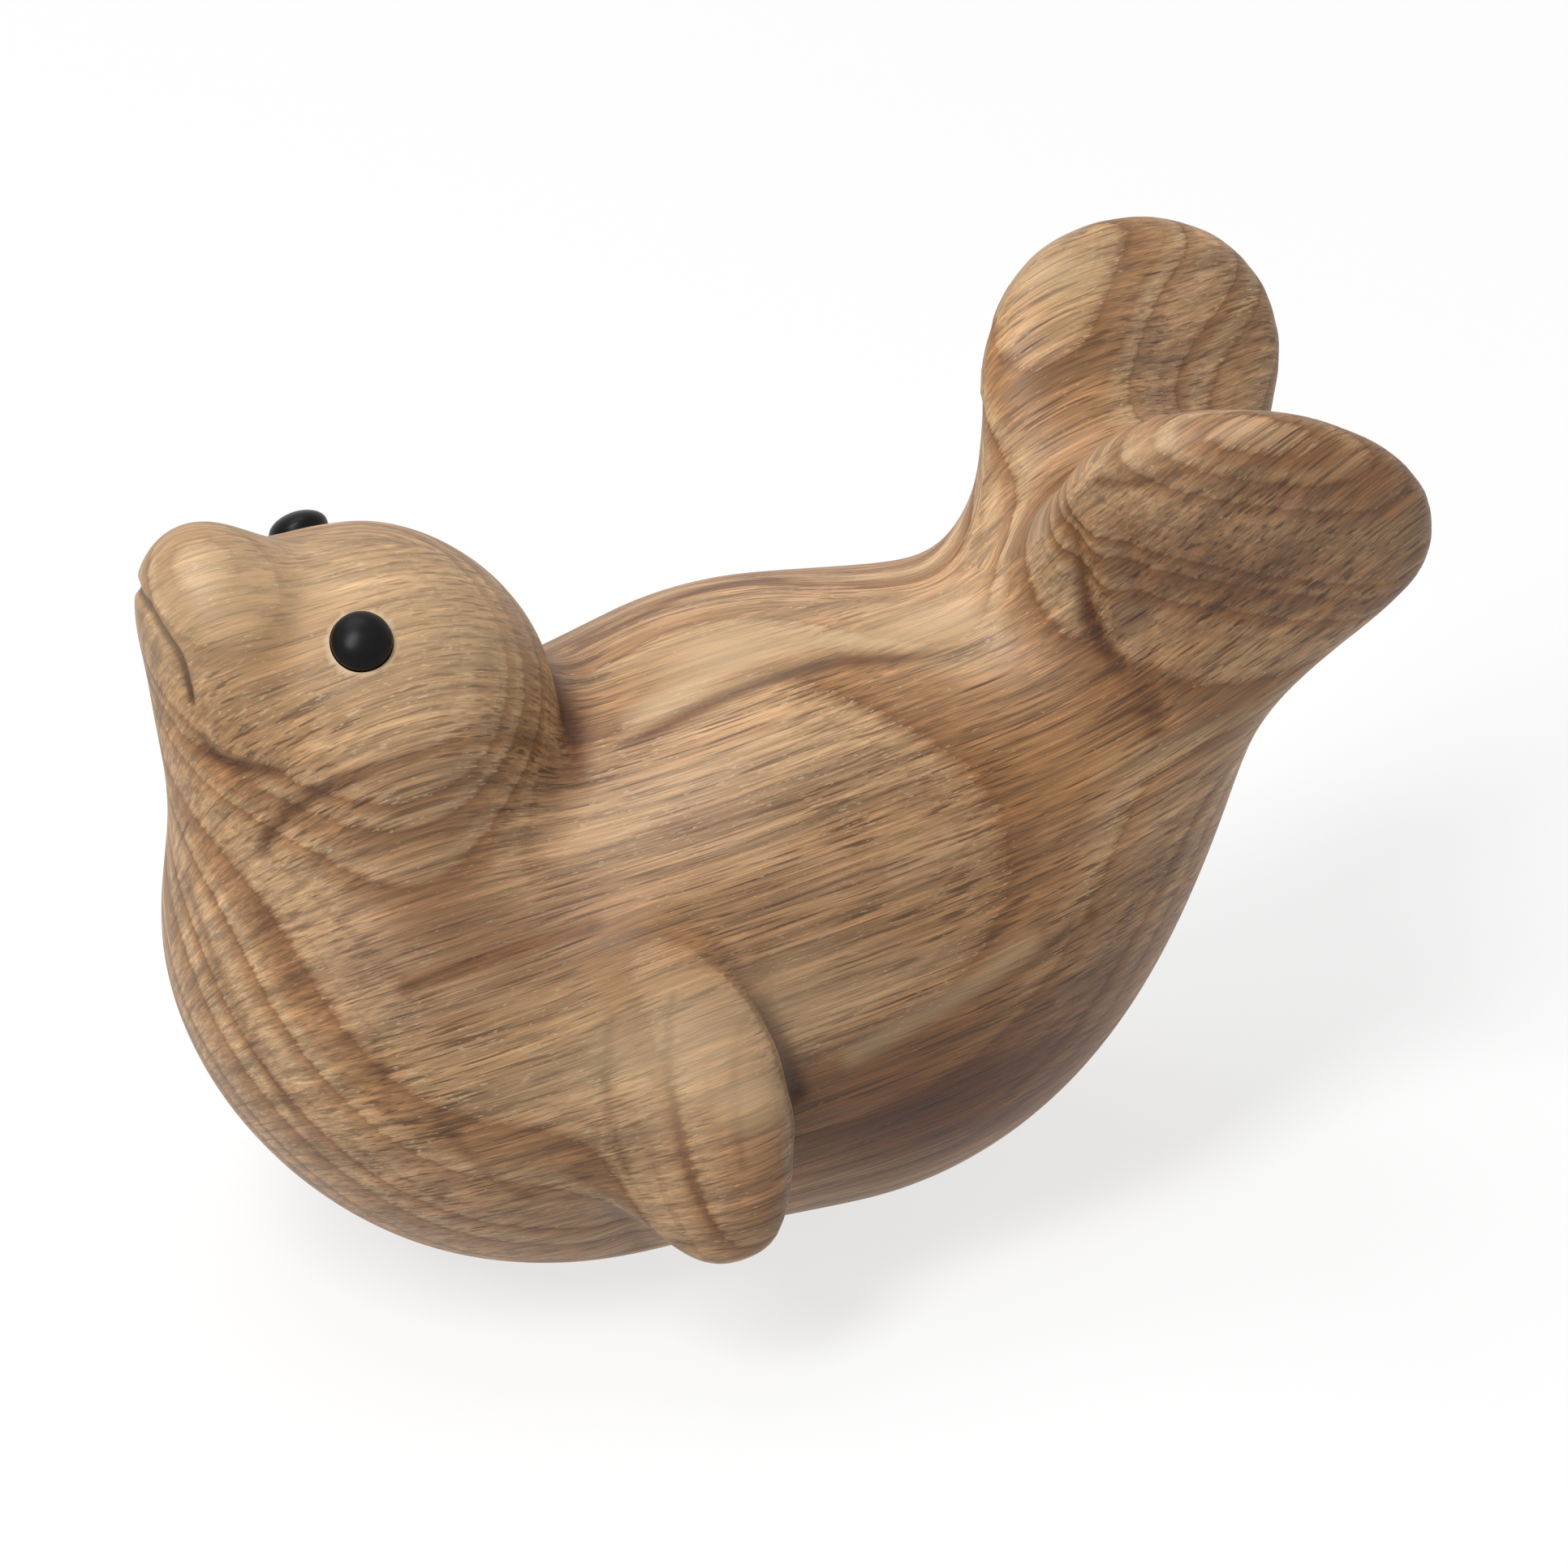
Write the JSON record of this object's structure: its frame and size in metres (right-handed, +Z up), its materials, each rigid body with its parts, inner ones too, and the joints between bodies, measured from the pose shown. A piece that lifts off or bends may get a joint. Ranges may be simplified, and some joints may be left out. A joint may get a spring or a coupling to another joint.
{
  "type": "seal figurine",
  "caption": "Carved wooden seal resting on its belly with head and tail raised, open-pored oiled wood, set with domed black eyes.",
  "frame": {"origin": "centre of the bounding box, at the height of the flat sanded on the belly", "axes": "+X towards the head, +Y towards the seal's left flank, +Z up"},
  "size_m": [0.1424, 0.0912, 0.1039],
  "materials": {
    "oiled_wood": "hand carved, sanded and oiled, open pores",
    "eye_plastic": "moulded, satin gloss"
  },
  "bodies": {
    "root": {"carved_body": "oiled_wood", "left_eye": "eye_plastic", "right_eye": "eye_plastic"}
  },
  "joints": []
}
